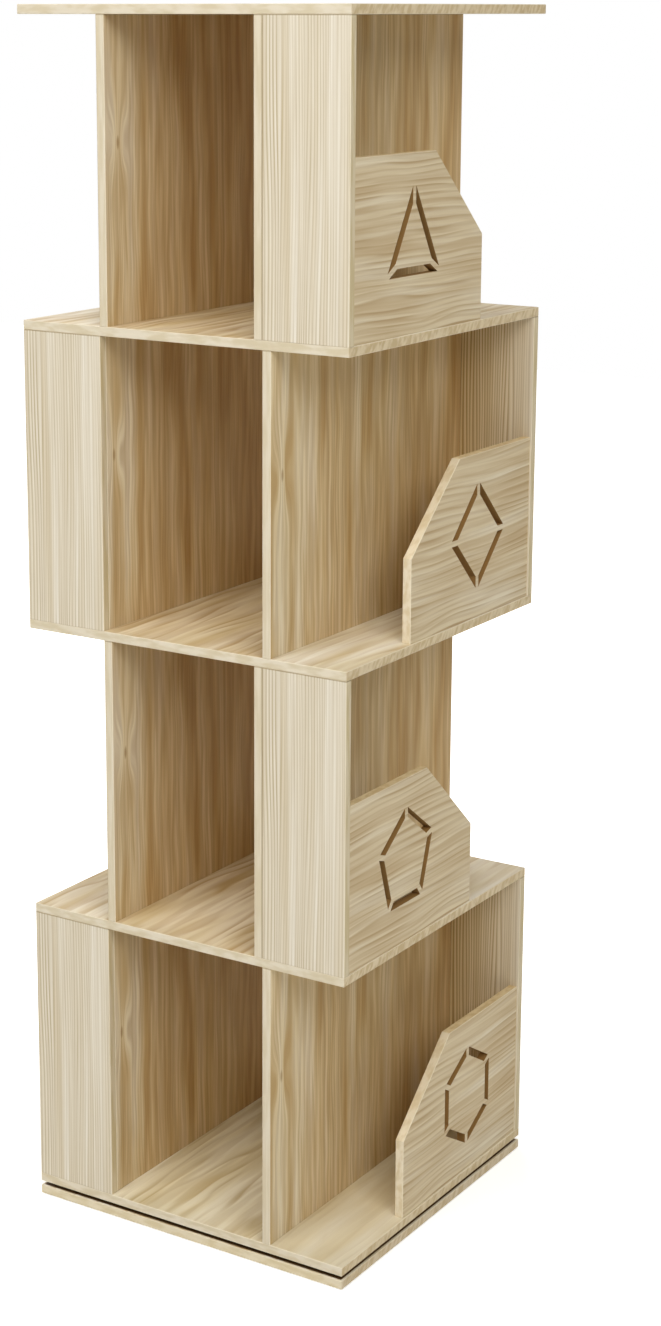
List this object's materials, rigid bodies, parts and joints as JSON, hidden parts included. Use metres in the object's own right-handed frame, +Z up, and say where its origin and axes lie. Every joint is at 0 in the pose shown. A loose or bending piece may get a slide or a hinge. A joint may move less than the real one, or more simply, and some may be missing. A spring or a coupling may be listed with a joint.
{
  "type": "revolving bookcase",
  "caption": "Tall square revolving bookcase of pale board: open tiers with low slotted guards, turning on a flat ball-race turntable between the base board and the bottom shelf.",
  "frame": {"origin": "centre of the underside of the base pads, on the floor and on the turning axis", "axes": "+Z up along the turning axis, -Y to the front of the bookcase as pictured, +X to its right"},
  "size_m": [0.4, 0.4, 1.32],
  "materials": {
    "panel_board": "pale straight-grained wood print, matt",
    "divider_board": "pale wood print with broad upright grain, matt",
    "guard_board": "pale wood print with level grain, matt",
    "shelf_board": "pale wood print with grain from front to back, matt",
    "dowel_wood": "plain beech",
    "screw_steel": "zinc plated",
    "zinc_sheet": "zinc-plated pressed sheet",
    "ball_steel": "polished steel",
    "cage_plastic": "plain moulded plastic",
    "felt": "brown felt"
  },
  "bodies": {
    "base": {"base_pads": "felt", "base_board": "shelf_board", "turntable_plate_lower": "zinc_sheet", "turntable_screws_lower": "screw_steel", "turntable_balls": "ball_steel", "ball_cage": "cage_plastic", "centre_rivet": "zinc_sheet"},
    "carousel": {"turntable_plate_upper": "zinc_sheet", "turntable_screws_upper": "screw_steel", "bottom_shelf": "shelf_board", "shelf_1": "shelf_board", "shelf_2": "shelf_board", "shelf_3": "shelf_board", "top_board": "shelf_board", "tier_1_divider_right": "divider_board", "tier_1_divider_left": "divider_board", "tier_1_end_panel_front": "panel_board", "tier_1_end_panel_back": "panel_board", "tier_1_guard_right": "guard_board", "tier_1_guard_left": "guard_board", "tier_1_screws": "screw_steel", "tier_1_dowels": "dowel_wood", "tier_2_divider_right": "divider_board", "tier_2_divider_left": "divider_board", "tier_2_end_panel_front": "panel_board", "tier_2_end_panel_back": "panel_board", "tier_2_guard_right": "guard_board", "tier_2_guard_left": "guard_board", "tier_2_screws": "screw_steel", "tier_2_dowels": "dowel_wood", "tier_3_divider_right": "divider_board", "tier_3_divider_left": "divider_board", "tier_3_end_panel_front": "panel_board", "tier_3_end_panel_back": "panel_board", "tier_3_guard_right": "guard_board", "tier_3_guard_left": "guard_board", "tier_3_screws": "screw_steel", "tier_3_dowels": "dowel_wood", "tier_4_divider_right": "divider_board", "tier_4_divider_left": "divider_board", "tier_4_end_panel_front": "panel_board", "tier_4_end_panel_back": "panel_board", "tier_4_guard_right": "guard_board", "tier_4_guard_left": "guard_board", "tier_4_screws": "screw_steel", "tier_4_dowels": "dowel_wood"}
  },
  "joints": [
    {"name": "carousel_turn", "type": "hinge", "parent": "base", "child": "carousel", "pos_m": [0, 0, 0.0135], "axis": [0, 0, 1], "continuous": true}
  ]
}
